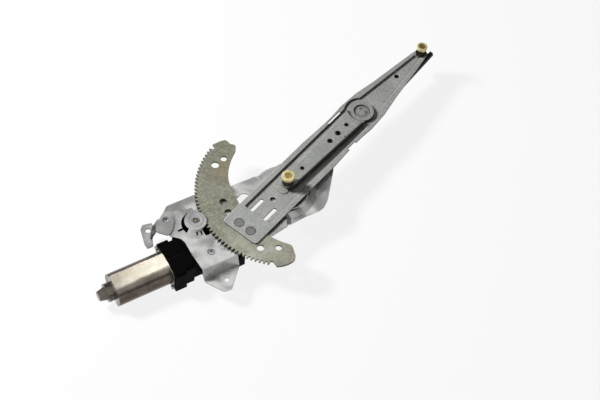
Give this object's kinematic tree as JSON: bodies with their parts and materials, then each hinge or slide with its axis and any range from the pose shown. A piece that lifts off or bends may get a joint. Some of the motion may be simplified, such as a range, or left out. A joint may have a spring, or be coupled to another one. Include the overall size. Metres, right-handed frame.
{
  "type": "window regulator",
  "caption": "Power window regulator: gearmotor drives a toothed sector on a lift arm, crossed by a free equalizer arm, with three channel rollers.",
  "frame": {"origin": "main pivot axis where it meets the mounting plane of the feet (rear face of the pivot's foot)", "axes": "+X along the lift arm from the main pivot to its tip roller at mid travel, +Z along the pivot axis towards the glass side"},
  "size_m": [0.5949, 0.1965, 0.0695],
  "materials": {
    "zinc_plate": "bright zinc plate, satin",
    "bracket_zinc": "bright zinc plate, satin",
    "arm_steel": "galvanised, dull speckled",
    "sector_steel": "dull olive-grey phosphate with slight staining",
    "pivot_steel": "turned, satin",
    "rivet_steel": "flush, dull",
    "equalizer_steel": "galvanised, dull",
    "black_coat": "black electro-coat, semi-matt",
    "roller_gold": "yellow passivated, satin",
    "stud_steel": "bright zinc plate",
    "housing_black": "black glass-filled plastic",
    "can_steel": "plated drawn steel, slightly yellowed",
    "screw_steel": "zinc plated",
    "copper": "bare copper",
    "lamination": "stacked laminations",
    "ferrite": "ferrite, dark grey",
    "bronze": "sintered bronze",
    "rubber": "moulded rubber",
    "white_plastic": "acetal",
    "carbon": "carbon brush",
    "pin_brass": "tinned brass"
  },
  "bodies": {
    "base": {"base_plate": "zinc_plate", "side_bracket": "bracket_zinc", "main_pivot": "pivot_steel", "pivot_washer": "white_plastic", "panel_spacers": "pivot_steel", "gearbox_housing": "housing_black", "gearbox_cover": "housing_black", "gearbox_screws": "screw_steel", "output_bush": "bronze", "motor_can": "can_steel", "can_screws": "screw_steel", "magnets": "ferrite", "end_bearing": "bronze", "worm_bush": "bronze", "thrust_pad": "white_plastic", "brush_card": "white_plastic", "brushes": "carbon", "connector_pins": "pin_brass"},
    "lift": {"lift_arm": "arm_steel", "sector_gear": "sector_steel", "sector_rivets": "rivet_steel", "tip_stud": "stud_steel"},
    "equalizer": {"equalizer_front": "equalizer_steel", "equalizer_rear": "black_coat", "hub_bush": "pivot_steel", "hub_rivets": "rivet_steel", "front_stud": "stud_steel", "rear_stud": "stud_steel"},
    "tip_wheel": {"tip_roller": "roller_gold"},
    "front_wheel": {"front_roller": "roller_gold"},
    "rear_wheel": {"rear_roller": "roller_gold"},
    "drive": {"drive_pinion": "pivot_steel", "output_shaft": "pivot_steel", "damper": "rubber", "worm_wheel": "white_plastic"},
    "armature": {"armature_shaft": "pivot_steel", "armature_core": "lamination", "windings": "copper", "commutator": "copper"}
  },
  "joints": [
    {"name": "lift_swing", "type": "hinge", "parent": "base", "child": "lift", "pos_m": [0, 0, 0.02], "axis": [0, 0, 1], "range_deg": [-48, 50]},
    {"name": "pinion_spin", "type": "hinge", "parent": "base", "child": "drive", "pos_m": [-0.11382, 0.05405, 0], "axis": [0, 0, 1], "range_deg": [-535, 513]},
    {"name": "motor_spin", "type": "hinge", "parent": "base", "child": "armature", "pos_m": [-0.12491, 0.02617, -0.002], "axis": [0.9291, -0.3697, 0], "range_deg": [-26668, 25601]},
    {"name": "equalizer_swing", "type": "hinge", "parent": "lift", "child": "equalizer", "pos_m": [0.17, 0, 0.0235], "axis": [0, 0, 1], "range_deg": [-110, 110]},
    {"name": "tip_roller_spin", "type": "hinge", "parent": "lift", "child": "tip_wheel", "pos_m": [0.308, 0, 0.0265], "axis": [0, 0, 1], "continuous": true},
    {"name": "front_roller_spin", "type": "hinge", "parent": "equalizer", "child": "front_wheel", "pos_m": [0.008, 0, 0.032], "axis": [0, 0, 1], "continuous": true},
    {"name": "rear_roller_spin", "type": "hinge", "parent": "equalizer", "child": "rear_wheel", "pos_m": [0.308, 0, 0.0187], "axis": [0, 0, 1], "continuous": true}
  ],
  "couplings": [
    {"joint": "pinion_spin", "follows": "lift_swing", "ratio": -10.667},
    {"joint": "motor_spin", "follows": "lift_swing", "ratio": -533.33}
  ]
}
